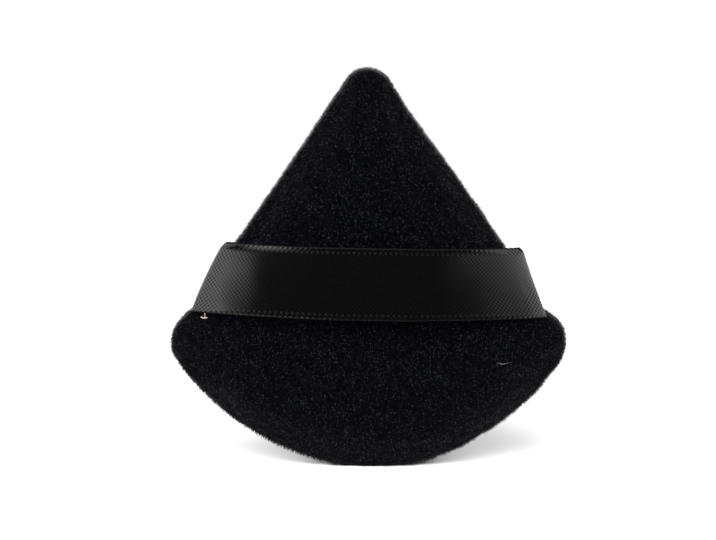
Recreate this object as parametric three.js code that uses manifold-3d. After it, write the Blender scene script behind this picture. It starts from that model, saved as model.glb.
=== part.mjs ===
// Powder puff: two velour panels sewn together round a foam core, with a ribbon caught in the side seams.
// Millimetres. The puff stands on its round edge: +Z runs up to its point and the ribbon faces -Y.
import * as THREE from 'three';
import { mergeVertices } from 'three/addons/utils/BufferGeometryUtils.js';
import Module from 'manifold-3d';

// Outline of the puff, seen from the front: arcs that run into each other from the floor up to the point.
const puffWidth = 84;
const puffHeight = 84.8;
const bottomRadius = 48;
const bottomShare = 0.3; // of the half width, up to where the flank's arc leaves the bottom's arc
const cornerRadius = 7.4;
const cornerHeight = 26.2; // centre of the corner arcs above the floor
const sideRadius = 650; // the sides are drawn in a little between corner and point
const apexRadius = 5.5;
const footDepth = 0.5; // how far the round bottom is pressed flat where it stands
const outlineSteps = { bottom: 2, flank: 5, corner: 5, ribbonBand: 6, upperSide: 3, apex: 3 };

// Thickness of the puff and of its layers
const puffThickness = 14;
const crownHeight = 38; // height of the thickest point above the floor
const crownPower = 3; // a higher power gives flatter faces and fuller edges
const velourThickness = 1.5;
const clearance = 0.3; // between pieces that touch on the real puff
const crownShares = [0.45, 0.74, 0.9, 0.975];
const liningShares = [0.5, 0.8, 0.94];
const coreEdgeShare = 0.94; // where the lining's height sets the height of the core's cut edge

// Side seam: both panels fold in at the edge, and their allowances lie face to face inside.
const foldHeight = 1.2; // from the seam plane to the widest line of each panel
const foldDepth = 1; // depth of the valley between the two folds
const allowanceWidth = 4.3; // from the widest line to the cut edge inside
const allowanceThickness = 0.9;
const foldShares = [[0.25, 0.3]]; // of the fold's depth and height, between its two ends

// Ribbon
const ribbonWidth = 15;
const ribbonThickness = 0.45;
const ribbonEndHeight = 14.6; // upright between its edges where it leans with the side seam
const ribbonHeight = 40.2; // middle of the ribbon above the floor
const ribbonDrop = 1.5; // how much lower its right end lies than its left end
const fingerGap = 5.5; // between the crown and the ribbon
const ribbonFlat = 6; // half the flat stretch in front
const ribbonStandDepth = 4.5; // how far it runs forward from the seam before it turns
const ribbonTailInset = 4.2; // from the widest line to the tail's cut end
const leftBulge = 2.8; // how far the ribbon's top edge stands out past the side seam
const rightBulge = 4;
const leftBow = 0.4; // how far the ribbon's left end stands out in the middle of its width
const rightHollow = 0.5; // how far its right end is drawn in there
const leftPull = 1.3; // how far the ribbon draws the side seam in
const rightPull = 2.2;
const pullReach = 6;
const pullRise = 3.6; // middle of the draw above the ribbon's lower edge
const turnShares = [0.7, 0.34]; // where the ribbon's turn out of the seam is steered
const frontShares = [0.27, 0.24]; // where the sweep from the flat stretch to the turn is steered
const ribbonSteps = { across: 4, flat: 3, front: 8, turn: 6, tail: 2 };

// Threads
const threadRadius = 0.15;
const threadRest = 0.35; // between a thread and the cloth that it lies on
const threadSides = 6;
const roomSides = 4; // of the room that the closing stitches have in the cloth
const runSteps = 3; // straight pieces of thread between two needle holes
const seamInset = 2.7; // from the widest line to the seam's needle holes
const seamPitch = 11;
const closingInset = 0.85;
const closingReach = 0.85; // how far each ladder stitch dips into a fold
const closingPitch = 5.6;
const closingRadius = 0.15;
const turningGap = 26; // length of side seam that is sewn by hand
const gapStart = 6; // from the ribbon's upper edge to the turning gap, along the seam
const seamEndGap = 3; // between the end of the seam and the first ladder stitch
const tackInset = 3.4;
const tackPitch = 4.2;
const tackMargin = 2; // from the ribbon's edge to the tack's end

// Cutting block under the foot, larger than anything that it cuts
const overrun = 20;

const finestDetail = 0.02; // shorter edges, left where cuts pass near a corner, are merged

const matte = (color, roughness) => new THREE.MeshStandardMaterial({ color, roughness, metalness: 0 });
const velourMaterial = () => matte(0x0e0e12, 0.95);
const foamMaterial = () => matte(0xddd5c2, 0.9);
const satinMaterial = () => matte(0x17171a, 0.38);
const threadMaterial = () => matte(0x101013, 0.7);

const halfThickness = puffThickness / 2;
const seamGap = clearance / 2; // each allowance keeps half the clearance from the seam plane
const allowanceTop = seamGap + allowanceThickness;
const ribbonFront = halfThickness + fingerGap + ribbonThickness / 2;
// The seam plane stands behind the origin, so that the whole depth is centred on it.
const seamPlane = (fingerGap + ribbonThickness) / 2;
const ribbonFoot = ribbonHeight - ribbonWidth / 2;

const wasm = await Module();
wasm.setup();

// Outline

// Where two circles round centres a and b meet, on the side that has the larger x.
function meetingPoint(a, reachA, b, reachB) {
  const span = a.distanceTo(b);
  const along = (span * span + reachA * reachA - reachB * reachB) / (2 * span);
  const away = Math.sqrt(Math.max(reachA * reachA - along * along, 0));
  const direction = b.clone().sub(a).normalize();
  const normal = new THREE.Vector2(-direction.y, direction.x);
  const points = [1, -1].map((sign) => a.clone().addScaledVector(direction, along)
    .addScaledVector(normal, sign * away));
  points.sort((p, q) => q.x - p.x);
  return points[0];
}

// The arc that leaves the bottom's arc at an angle and runs into the corner's arc, touching both.
function flankArc(bottom, angle, corner) {
  const leaving = new THREE.Vector2(Math.cos(angle), Math.sin(angle));
  const span = bottom.clone().sub(corner);
  const reach = bottomRadius - cornerRadius;
  const shift = (reach * reach - span.lengthSq()) / (2 * (reach + span.dot(leaving)));
  return { centre: bottom.clone().addScaledVector(leaving, shift), radius: bottomRadius - shift };
}

// Points of an arc without its last one; outward is -1 where the arc is hollow seen from outside.
function arcPoints(centre, radius, from, to, steps, outward) {
  return Array.from({ length: steps }, (_, k) => {
    const angle = from + (to - from) * (k / steps);
    const ray = new THREE.Vector2(Math.cos(angle), Math.sin(angle));
    return { point: centre.clone().addScaledVector(ray, radius), normal: ray.multiplyScalar(outward) };
  });
}

// The ribbon draws the seam in, by a smooth dip that is deepest near the ribbon's lower edge.
function drawIn(height, depth) {
  const reach = (height - ribbonFoot - pullRise) / pullReach;
  return Math.abs(reach) < 1 ? depth * (1 + Math.cos(Math.PI * reach)) / 2 : 0;
}

function makeOutline() {
  const apex = new THREE.Vector2(0, puffHeight - apexRadius);
  const corner = new THREE.Vector2(puffWidth / 2 - cornerRadius, cornerHeight);
  const bottom = new THREE.Vector2(0, bottomRadius - footDepth);
  const side = meetingPoint(apex, sideRadius + apexRadius, corner, sideRadius + cornerRadius);
  const angle = (from, to) => Math.atan2(to.y - from.y, to.x - from.x);
  const straightDown = -Math.PI / 2;
  const flankFrom = straightDown + Math.asin(bottomShare * puffWidth / (2 * bottomRadius));
  const flank = flankArc(bottom, flankFrom, corner);
  const flankTo = angle(flank.centre, corner);
  const sideFrom = angle(side, corner) + 2 * Math.PI;
  const sideTo = angle(side, apex);
  // The lower part of the side, behind the ribbon, has closer points than the rest.
  const bandTop = side.y - (ribbonHeight + ribbonWidth / 2);
  const sideMiddle = Math.PI + Math.asin(bandTop / sideRadius);
  const hollow = (from, to, steps) => arcPoints(side, sideRadius, from, to, steps, -1);
  const wrapped = (value) => (value < 0 ? value + 2 * Math.PI : value);
  const right = [
    ...arcPoints(bottom, bottomRadius, straightDown, flankFrom, outlineSteps.bottom, 1),
    ...arcPoints(flank.centre, flank.radius, flankFrom, flankTo, outlineSteps.flank, 1),
    ...arcPoints(corner, cornerRadius, flankTo, angle(corner, side), outlineSteps.corner, 1),
    ...hollow(sideFrom, sideMiddle, outlineSteps.ribbonBand),
    ...hollow(sideMiddle, wrapped(sideTo), outlineSteps.upperSide),
    ...arcPoints(apex, apexRadius, angle(apex, side), Math.PI / 2, outlineSteps.apex, 1),
    { point: new THREE.Vector2(0, puffHeight), normal: new THREE.Vector2(0, 1) },
  ];
  const left = right.slice(1, -1).reverse().map(({ point, normal }) => ({
    point: new THREE.Vector2(-point.x, point.y),
    normal: new THREE.Vector2(-normal.x, normal.y),
    pull: drawIn(point.y, leftPull),
  }));
  return [...right.map((edge) => ({ ...edge, pull: drawIn(edge.point.y, rightPull) })), ...left];
}

const outline = makeOutline();
const insetPoints = (inset) => outline.map(({ point, normal, pull }) => (
  point.clone().addScaledVector(normal, -inset - pull)));

// Half the width of the outline, at an inset and a height on its right or left slanted side.
function halfWidthAt(height, inset, side) {
  const points = insetPoints(inset).map((p) => new THREE.Vector2(p.x * side, p.y));
  if (side < 0) points.push(points.shift());
  if (side < 0) points.reverse();
  const half = points.slice(0, points.length / 2 + 1);
  const widest = half.reduce((best, p, k) => (p.x > half[best].x ? k : best), 0);
  const upper = half.slice(widest);
  const above = Math.max(upper.findIndex((p) => p.y > height), 1);
  const [low, high] = [upper[above - 1], upper[above]];
  return THREE.MathUtils.mapLinear(height, low.y, high.y, low.x, high.x);
}

// Closed solids

function toSolid(geometry) {
  const bare = geometry.clone();
  bare.deleteAttribute('normal');
  bare.deleteAttribute('uv');
  const merged = mergeVertices(bare);
  const vertProperties = new Float32Array(merged.attributes.position.array);
  const triVerts = new Uint32Array(merged.index.array);
  return new wasm.Manifold(new wasm.Mesh({ numProp: 3, vertProperties, triVerts }));
}

// Corners joined by an edge shorter than finestDetail become one corner.
function mergeShortEdges(corners, faces) {
  let kept = faces;
  for (;;) {
    const moved = new Map();
    const locked = new Set();
    for (const [a, b, c] of kept) {
      for (const [from, to] of [[a, b], [b, c], [c, a]]) {
        const free = !locked.has(from) && !locked.has(to);
        if (free && corners[from].distanceTo(corners[to]) < finestDetail) {
          moved.set(from, to);
          locked.add(from).add(to);
        }
      }
    }
    if (moved.size === 0) return kept;
    kept = kept.map((face) => face.map((corner) => moved.get(corner) ?? corner))
      .filter(([a, b, c]) => a !== b && b !== c && c !== a);
  }
}

// The long edge of a flat sliver is turned, so that the sliver joins the face beyond that edge.
function turnSliverEdges(corners, faces) {
  const slimmest = (a, b, c) => {
    const [p, q, r] = [corners[a], corners[b], corners[c]];
    const area = q.clone().sub(p).cross(r.clone().sub(p)).length();
    return area / Math.max(p.distanceTo(q), q.distanceTo(r), r.distanceTo(p));
  };
  const longEdgeFirst = ([a, b, c]) => {
    const turns = [[a, b, c], [b, c, a], [c, a, b]];
    const length = ([from, to]) => corners[from].distanceTo(corners[to]);
    return turns.reduce((best, turn) => (length(turn) > length(best) ? turn : best));
  };
  for (let k = 0; k < faces.length; k += 1) {
    if (slimmest(...faces[k]) < finestDetail) {
      const [from, to, tip] = longEdgeFirst(faces[k]);
      const beyond = faces.findIndex((face) => face !== faces[k] && face.includes(from) && face.includes(to));
      const far = faces[beyond].find((corner) => corner !== from && corner !== to);
      const turned = [[tip, from, far], [tip, far, to]];
      const used = faces.some((face) => face.includes(tip) && face.includes(far));
      const before = Math.min(slimmest(...faces[k]), slimmest(...faces[beyond]));
      if (!used && Math.min(...turned.map((face) => slimmest(...face))) > before) {
        [faces[k], faces[beyond]] = turned;
      }
    }
  }
  return faces;
}

function toGeometry(solid) {
  const mesh = solid.getMesh();
  const corners = Array.from({ length: mesh.numVert }, (_, k) => (
    new THREE.Vector3().fromArray(mesh.vertProperties, k * mesh.numProp)));
  const found = Array.from({ length: mesh.numTri }, (_, k) => [...mesh.verts(k)]);
  const faces = turnSliverEdges(corners, mergeShortEdges(corners, found));
  const geometry = new THREE.BufferGeometry();
  geometry.setAttribute('position', new THREE.Float32BufferAttribute(corners.flatMap((p) => p.toArray()), 3));
  geometry.setIndex(faces.flat());
  return geometry;
}

// A closed skin through rings of points, shut by a pole at each end; facing is 1 or -1.
function skin(rings, firstPole, lastPole, facing) {
  const count = rings[0].length;
  const points = [...rings.flat(), firstPole, lastPole];
  const first = points.length - 2;
  const last = points.length - 1;
  const index = [];
  const face = (a, b, c) => (facing > 0 ? index.push(a, b, c) : index.push(a, c, b));
  for (let k = 0; k < count; k += 1) {
    const next = (k + 1) % count;
    const end = (rings.length - 1) * count;
    face(first, k, next);
    face(last, end + next, end + k);
    for (let r = 0; r < rings.length - 1; r += 1) {
      const row = r * count;
      face(row + k, row + count + k, row + count + next);
      face(row + k, row + count + next, row + next);
    }
  }
  const geometry = new THREE.BufferGeometry();
  geometry.setAttribute('position', new THREE.Float32BufferAttribute(points.flatMap((p) => p.toArray()), 3));
  geometry.setIndex(index);
  return toSolid(geometry);
}

// A ring of the outline at an inset and a distance from the seam plane, shrunk towards the crown by share.
function ring(inset, depth, share = 1) {
  return insetPoints(inset).map((p) => new THREE.Vector3(
    p.x * share,
    depth,
    crownHeight + (p.y - crownHeight) * share,
  ));
}

// The crown's rise from edge to middle, as a share of the whole rise.
const crownRise = (share) => (1 - share ** crownPower) ** (1 / crownPower);

// Height of the panel's lining above the seam plane.
const liningTop = halfThickness - velourThickness;
const liningDepth = (share) => allowanceTop + (liningTop - allowanceTop) * crownRise(share);

// Front and back are the same panel on the two sides of the seam plane; side is -1 in front.
function velourPanel(side) {
  const outer = crownShares.map((share) => ring(
    0,
    side * (foldHeight + (halfThickness - foldHeight) * crownRise(share)),
    share,
  ));
  const fold = foldShares.map(([inShare, upShare]) => ring(
    foldDepth * inShare,
    side * (seamGap + (foldHeight - seamGap) * upShare),
  ));
  const lining = liningShares.map((share) => ring(velourThickness, side * liningDepth(share), share));
  const rings = [
    ...outer,
    ring(0, side * foldHeight),
    ...fold,
    ring(foldDepth, side * seamGap),
    ring(allowanceWidth, side * seamGap),
    ring(allowanceWidth, side * allowanceTop),
    ring(velourThickness, side * allowanceTop),
    ...lining.reverse(),
  ];
  const outerPole = new THREE.Vector3(0, side * halfThickness, crownHeight);
  const innerPole = new THREE.Vector3(0, side * liningTop, crownHeight);
  return skin(rings, outerPole, innerPole, -side);
}

// The core fills the lining, and is cut square where it meets the allowances' edges.
function foamCore() {
  const edgeInset = allowanceWidth + clearance;
  const edgeDepth = liningDepth(coreEdgeShare) - clearance;
  const faceRings = (side) => liningShares.filter((share) => share < coreEdgeShare)
    .map((share) => ring(velourThickness, side * (liningDepth(share) - clearance), share));
  const rings = [
    ...faceRings(-1),
    ring(edgeInset, -edgeDepth),
    ring(edgeInset, edgeDepth),
    ...faceRings(1).reverse(),
  ];
  const front = new THREE.Vector3(0, clearance - liningTop, crownHeight);
  const back = new THREE.Vector3(0, liningTop - clearance, crownHeight);
  return skin(rings, front, back, 1);
}

// Ribbon

function bezier(points, steps) {
  const curve = new THREE.CubicBezierCurve(...points.map(([x, y]) => new THREE.Vector2(x, y)));
  return curve.getPoints(steps).slice(1);
}

// One edge-parallel line of the ribbon on one side, from the middle of the front to the cut tail.
function ribbonHalf(side, across, grow) {
  const slope = ribbonDrop / puffWidth;
  const level = (share, height) => ribbonHeight + THREE.MathUtils.lerp(-height / 2, height / 2, share);
  const seamHalf = (share, height, inset) => {
    const flat = halfWidthAt(level(share, height), inset, side);
    return halfWidthAt(level(share, height) - side * slope * flat, inset, side);
  };
  const bulge = side < 0 ? leftBulge : rightBulge;
  const lowReach = seamHalf(0, ribbonEndHeight, 0) - ribbonThickness / 2;
  const highReach = seamHalf(1, ribbonEndHeight, 0) + bulge;
  const bow = side < 0 ? leftBow : -rightHollow;
  const reach = THREE.MathUtils.lerp(lowReach, highReach, across) + bow * 4 * across * (1 - across);
  const exit = seamHalf(across, ribbonEndHeight, foldDepth);
  const tailEnd = seamHalf(across, ribbonEndHeight, ribbonTailInset + grow);
  const [sidewaysShare, backShare] = frontShares;
  const [outShare, forwardShare] = turnShares;
  const flat = Array.from({ length: ribbonSteps.flat + 1 }, (_, k) => (
    new THREE.Vector2(ribbonFlat * k / ribbonSteps.flat, -ribbonFront)));
  const front = bezier([
    [ribbonFlat, -ribbonFront],
    [ribbonFlat + sidewaysShare * (reach - ribbonFlat), -ribbonFront],
    [reach, -ribbonStandDepth - backShare * (ribbonFront - ribbonStandDepth)],
    [reach, -ribbonStandDepth],
  ], ribbonSteps.front);
  const turn = bezier([
    [reach, -ribbonStandDepth],
    [reach, -ribbonStandDepth * forwardShare],
    [exit + (reach - exit) * outShare, 0],
    [exit, 0],
  ], ribbonSteps.turn);
  const tail = Array.from({ length: ribbonSteps.tail }, (_, k) => (
    new THREE.Vector2(THREE.MathUtils.lerp(exit, tailEnd, (k + 1) / ribbonSteps.tail), 0)));
  return [...flat, ...front, ...turn, ...tail].map((p, k) => {
    const round = THREE.MathUtils.clamp((k - ribbonSteps.flat) / ribbonSteps.front, 0, 1);
    const height = THREE.MathUtils.lerp(ribbonWidth, ribbonEndHeight, round);
    return new THREE.Vector3(side * p.x, p.y, level(across, height) - slope * side * p.x);
  });
}

// The ribbon as a slab; grow widens it all round, for the room that its neighbours leave.
function ribbonSolid(grow) {
  const margin = grow / ribbonWidth;
  const rows = Array.from({ length: ribbonSteps.across + 1 }, (_, k) => {
    const across = THREE.MathUtils.lerp(-margin, 1 + margin, k / ribbonSteps.across);
    const left = ribbonHalf(-1, across, grow).slice(1).reverse();
    return [...left, ...ribbonHalf(1, across, grow)];
  });
  const half = ribbonThickness / 2 + grow;
  const columns = rows[0].length;
  const within = (k, count) => THREE.MathUtils.clamp(k, 0, count - 1);
  const at = (r, c) => rows[within(r, rows.length)][within(c, columns)];
  const offset = (r, c, sign) => {
    const along = at(r, c + 1).clone().sub(at(r, c - 1));
    const up = at(r + 1, c).clone().sub(at(r - 1, c));
    const normal = along.cross(up).normalize();
    return at(r, c).clone().addScaledVector(normal, sign * half);
  };
  const points = [];
  for (const sign of [1, -1]) {
    for (let r = 0; r < rows.length; r += 1) {
      for (let c = 0; c < columns; c += 1) points.push(offset(r, c, sign));
    }
  }
  const backStart = rows.length * columns;
  const front = (r, c) => r * columns + c;
  const back = (r, c) => backStart + front(r, c);
  const index = [];
  const quad = (a, b, c, d) => index.push(a, b, c, a, c, d);
  for (let r = 0; r < rows.length - 1; r += 1) {
    for (let c = 0; c < columns - 1; c += 1) {
      quad(front(r, c), front(r, c + 1), front(r + 1, c + 1), front(r + 1, c));
      quad(back(r, c), back(r + 1, c), back(r + 1, c + 1), back(r, c + 1));
    }
    quad(front(r, 0), front(r + 1, 0), back(r + 1, 0), back(r, 0));
    quad(front(r, columns - 1), back(r, columns - 1), back(r + 1, columns - 1), front(r + 1, columns - 1));
  }
  const top = rows.length - 1;
  for (let c = 0; c < columns - 1; c += 1) {
    quad(front(0, c), back(0, c), back(0, c + 1), front(0, c + 1));
    quad(front(top, c), front(top, c + 1), back(top, c + 1), back(top, c));
  }
  const geometry = new THREE.BufferGeometry();
  geometry.setAttribute('position', new THREE.Float32BufferAttribute(points.flatMap((p) => p.toArray()), 3));
  geometry.setIndex(index);
  return toSolid(geometry);
}

// Threads

// The outline at an inset as a line that can be walked by length, from the bottom middle to the right and up.
class SeamLine {
  constructor(inset) {
    this.points = insetPoints(inset);
    this.points.push(this.points[0]);
    this.lengths = [0];
    for (let k = 1; k < this.points.length; k += 1) {
      this.lengths.push(this.lengths[k - 1] + this.points[k].distanceTo(this.points[k - 1]));
    }
    this.total = this.lengths.at(-1);
  }

  at(length) {
    const wrapped = THREE.MathUtils.euclideanModulo(length, this.total);
    const next = Math.max(this.lengths.findIndex((value) => value > wrapped), 1);
    const share = (wrapped - this.lengths[next - 1]) / (this.lengths[next] - this.lengths[next - 1]);
    return this.points[next - 1].clone().lerp(this.points[next], share);
  }

  // Length at which the line passes a height on the right side, or on the left one.
  lengthAt(height, side) {
    const half = (this.points.length - 1) / 2;
    const widest = this.points.reduce((best, p, k) => (p.x > this.points[best].x ? k : best), 0);
    for (let k = widest; k < half; k += 1) {
      const [low, high] = [this.points[k], this.points[k + 1]];
      if (low.y <= height && high.y > height) {
        const share = (height - low.y) / (high.y - low.y);
        const length = this.lengths[k] + share * (this.lengths[k + 1] - this.lengths[k]);
        return side > 0 ? length : this.total - length;
      }
    }
    return this.total / 2;
  }
}

// A bent line whose rings stand at its corners, square to the half angle there.
class BentLine extends THREE.Curve {
  constructor(points) {
    super();
    this.points = points;
  }

  getPoint(t) {
    const place = t * (this.points.length - 1);
    const k = Math.min(Math.floor(place), this.points.length - 2);
    return this.points[k].clone().lerp(this.points[k + 1], place - k);
  }

  getPointAt(u) {
    return this.getPoint(u);
  }

  getTangentAt(u) {
    const last = this.points.length - 1;
    const k = Math.round(u * last);
    const before = this.points[k].clone().sub(this.points[Math.max(k - 1, 0)]).normalize();
    const after = this.points[Math.min(k + 1, last)].clone().sub(this.points[k]).normalize();
    return before.add(after).normalize();
  }
}

// A running stitch along the seam, on one side of the cloth and then on the other, through needle holes.
// Each stitch is the two ends of its needle hole and then the points of the run to the next hole.
function stitchPoints(inset, from, to, pitch, reach) {
  const line = new SeamLine(inset);
  const count = Math.max(Math.round((to - from) / pitch), 1);
  const points = [];
  let side = -1;
  const place = (length, depth) => {
    const p = line.at(length);
    points.push(new THREE.Vector3(p.x, depth, p.y));
  };
  for (let k = 0; k <= count; k += 1) {
    const hole = (step) => THREE.MathUtils.lerp(from, to, (k + step / runSteps) / count);
    place(hole(0), side * reach);
    place(hole(0), -side * reach);
    for (let step = 1; step < runSteps && k < count; step += 1) place(hole(step), -side * reach);
    side = -side;
  }
  return points;
}

function threadSolid(points, radius, sides = threadSides) {
  const shape = new THREE.Shape(Array.from({ length: sides }, (_, k) => {
    const angle = 2 * Math.PI * k / sides;
    return new THREE.Vector2(radius * Math.cos(angle), radius * Math.sin(angle));
  }));
  const extrudePath = new BentLine(points);
  const steps = points.length - 1;
  return toSolid(new THREE.ExtrudeGeometry(shape, { steps, extrudePath, bevelEnabled: false }));
}

// Square needle holes, one at each place where a running stitch goes through the cloth.
function needleHoles(points) {
  const width = 2 * (threadRadius + clearance);
  const holes = [];
  for (let k = 0; k < points.length; k += runSteps + 1) {
    const [near, far] = [points[k], points[k + 1]];
    const hole = new THREE.BoxGeometry(width, Math.abs(far.y - near.y), width);
    hole.translate(near.x, 0, near.z);
    holes.push(toSolid(hole));
  }
  return holes.reduce((all, hole) => all.add(hole));
}

function makeThreads() {
  const overCloth = allowanceTop + threadRest + threadRadius;
  const ribbonTop = ribbonFoot + ribbonWidth;
  const closingLine = new SeamLine(closingInset);
  const gapTo = closingLine.lengthAt(ribbonTop, -1) - gapStart;
  const gapFrom = gapTo - turningGap;
  const seamLine = new SeamLine(seamInset);
  const scale = seamLine.total / closingLine.total;
  const seam = stitchPoints(
    seamInset,
    gapTo * scale + seamEndGap,
    gapFrom * scale - seamEndGap + seamLine.total,
    seamPitch,
    overCloth,
  );
  const closing = stitchPoints(closingInset, gapFrom, gapTo, closingPitch, closingReach);
  const closingRoom = threadSolid(closing, (closingRadius + clearance) * Math.SQRT2, roomSides);
  const tackLine = new SeamLine(tackInset);
  const tack = (side) => {
    const ends = [ribbonFoot + tackMargin, ribbonTop - tackMargin]
      .map((height) => tackLine.lengthAt(height, side)).sort((a, b) => a - b);
    return stitchPoints(tackInset, ends[0], ends[1], tackPitch, overCloth);
  };
  const sewn = (name, points) => ({ name, points, radius: threadRadius, room: needleHoles(points) });
  return [
    sewn('perimeter_seam_thread', seam),
    { name: 'closing_seam_thread', points: closing, radius: closingRadius, room: closingRoom },
    sewn('left_ribbon_tack', tack(-1)),
    sewn('right_ribbon_tack', tack(1)),
  ];
}

// Assembly

const threads = makeThreads();
const withThreadRoom = (solid) => threads.reduce((left, { room }) => left.subtract(room), solid);
const ribbonRoom = ribbonSolid(clearance);
const floorSize = puffWidth + 2 * overrun;
const floorBlock = new THREE.BoxGeometry(floorSize, floorSize, overrun);
floorBlock.translate(0, 0, -overrun / 2);
const floor = toSolid(floorBlock);

const panelSolid = (side) => withThreadRoom(velourPanel(side).subtract(ribbonRoom)).subtract(floor);

const puff = new THREE.Group();
puff.position.y = seamPlane;

function addPiece(name, solid, material) {
  const mesh = new THREE.Mesh(toGeometry(solid), material);
  mesh.name = name;
  puff.add(mesh);
}

addPiece('front_velour_panel', panelSolid(-1), velourMaterial());
addPiece('back_velour_panel', panelSolid(1), velourMaterial());
addPiece('foam_core', foamCore(), foamMaterial());
addPiece('finger_ribbon', withThreadRoom(ribbonSolid(0)), satinMaterial());
for (const { name, points, radius } of threads) {
  addPiece(name, threadSolid(points, radius), threadMaterial());
}

export default puff;
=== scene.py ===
# Powder puff: fan-shaped velour covers over a foam pad, sewn round the edge, with a satin ribbon across the
# front. It stands on its round edge: Z runs up to the point and the ribbon faces -Y. Dictionaries and points
# hold millimetres, and what is made from them is in metres.
import math

import bpy
import numpy as np
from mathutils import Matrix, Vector


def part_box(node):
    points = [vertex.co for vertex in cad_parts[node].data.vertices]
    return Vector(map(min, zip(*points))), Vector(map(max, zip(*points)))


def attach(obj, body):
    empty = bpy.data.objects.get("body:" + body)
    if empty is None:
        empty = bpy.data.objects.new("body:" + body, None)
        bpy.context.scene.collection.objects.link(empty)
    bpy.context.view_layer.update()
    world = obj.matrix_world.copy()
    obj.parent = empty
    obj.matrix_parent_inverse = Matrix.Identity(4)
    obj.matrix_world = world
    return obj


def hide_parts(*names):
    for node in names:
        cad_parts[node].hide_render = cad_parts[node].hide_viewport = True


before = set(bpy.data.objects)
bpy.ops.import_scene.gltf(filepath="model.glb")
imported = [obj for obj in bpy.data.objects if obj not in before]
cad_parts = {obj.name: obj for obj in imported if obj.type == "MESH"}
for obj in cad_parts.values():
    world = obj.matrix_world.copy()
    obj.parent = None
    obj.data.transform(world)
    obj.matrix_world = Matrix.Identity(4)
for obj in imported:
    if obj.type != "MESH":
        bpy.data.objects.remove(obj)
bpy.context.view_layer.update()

mm = 0.001
frontLow, frontHigh = (np.array(corner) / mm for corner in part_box("front_velour_panel"))
backLow, backHigh = (np.array(corner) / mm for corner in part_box("back_velour_panel"))
seamPlane = (frontHigh[1] + backLow[1]) / 2  # y of the seam that joins the covers
halfThickness = (backHigh[1] - frontLow[1]) / 2


# Lines and meshes

# Vectors made one long.
def unit(vectors):
    return vectors / np.linalg.norm(vectors, axis=-1, keepdims=True)


# Length run along a line, at each of its points.
def runLength(line):
    return np.concatenate([[0], np.cumsum(np.linalg.norm(np.diff(line, axis=0), axis=1))])


# Rows of a table read at places between the places of its own rows.
def lookUp(places, own, table):
    return np.stack([np.interp(places, own, column) for column in table.T], -1)


# A named mesh from points in millimetres and faces of three or four corners.
def makePiece(name, points, faces, smooth=True):
    mesh = bpy.data.meshes.new(name)
    corners = np.array(faces, np.int32)
    count, sides = corners.shape
    mesh.vertices.add(len(points))
    mesh.vertices.foreach_set("co", (np.asarray(points, np.float32) * mm).ravel())
    mesh.loops.add(count * sides)
    mesh.loops.foreach_set("vertex_index", corners.ravel())
    mesh.polygons.add(count)
    mesh.polygons.foreach_set("loop_start", np.arange(count, dtype=np.int32) * sides)
    mesh.polygons.foreach_set("use_smooth", np.full(count, smooth))
    mesh.update(calc_edges=True)
    mesh.validate()
    piece = bpy.data.objects.new(name, mesh)
    bpy.context.scene.collection.objects.link(piece)
    return piece


# Quads of a grid whose points are numbered row by row; ringed joins its last column to its first.
def gridFaces(rows, columns, ringed=False):
    across = columns if ringed else columns - 1
    r, c = np.meshgrid(np.arange(rows - 1), np.arange(across), indexing="ij")
    right = (c + 1) % columns
    low, high = r * columns, (r + 1) * columns
    return np.stack([low + c, low + right, high + right, high + c], -1).reshape(-1, 4)


# Numbers of a grid's outer points in order, from the lower left corner to the right and up.
def gridRing(rows, columns):
    index = np.arange(rows * columns).reshape(rows, columns)
    return np.concatenate([index[0, :-1], index[:-1, -1], index[-1, :0:-1], index[:0:-1, 0]])


# Faces of a closed slab: a front grid, a back grid of the same size numbered after it, and a wall round both.
def slabFaces(rows, columns):
    front = gridFaces(rows, columns)
    ring = gridRing(rows, columns)
    behind = rows * columns
    wall = np.stack([ring, ring + behind, np.roll(ring, -1) + behind, np.roll(ring, -1)], 1)
    return np.concatenate([front, front[:, ::-1] + behind, wall])


# Gives a piece its material, joins it to the puff's one body, and hides the parts of the frame it stands for.
def settle(piece, slot, material, *nodes):
    piece.data.materials.append(material)
    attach(piece, "root")
    if nodes:
        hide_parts(*nodes)
    return piece


# Outline

outline = {
    "width": 84.0, "height": 84.8, "bottomRadius": 48.0, "bottomShare": 0.3, "cornerRadius": 7.4,
    "cornerHeight": 26.2, "sideRadius": 650.0, "apexRadius": 5.5, "footDepth": 0.5,
    "pullHeight": 36.3,  # where the ribbon draws the side seams in the most
    "pullReach": 6.0, "leftPull": 1.3, "rightPull": 2.2,
    "points": 4000,
}
# How far the cloth lies inside the edge, or outside it where negative: from the bottom middle up the right
# side and down the left one, in even steps of length. It leaves room for the pile, sags at the foot, and
# follows the small unevenness of the sewn edge.
trim = [-0.4, 0.0, 0.65, 0.5, 0.3, -0.45, -0.2, -0.45, -0.2, 0.6, 0.45,
        0.0, -0.1, -0.2, -0.1, -0.25, 0.35, 0.9, 1.0, 0.7, -0.4]


# The point that lies reachA from a and reachB from b: of the two, the one with the larger x.
def circlesMeet(a, reachA, b, reachB):
    span = b - a
    length = np.hypot(*span)
    along = (length ** 2 + reachA ** 2 - reachB ** 2) / (2 * length)
    away = math.sqrt(reachA ** 2 - along ** 2)
    square = np.array([-span[1], span[0]]) / length
    found = [a + span * along / length + sign * away * square for sign in (1, -1)]
    return max(found, key=lambda point: point[0])


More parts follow.
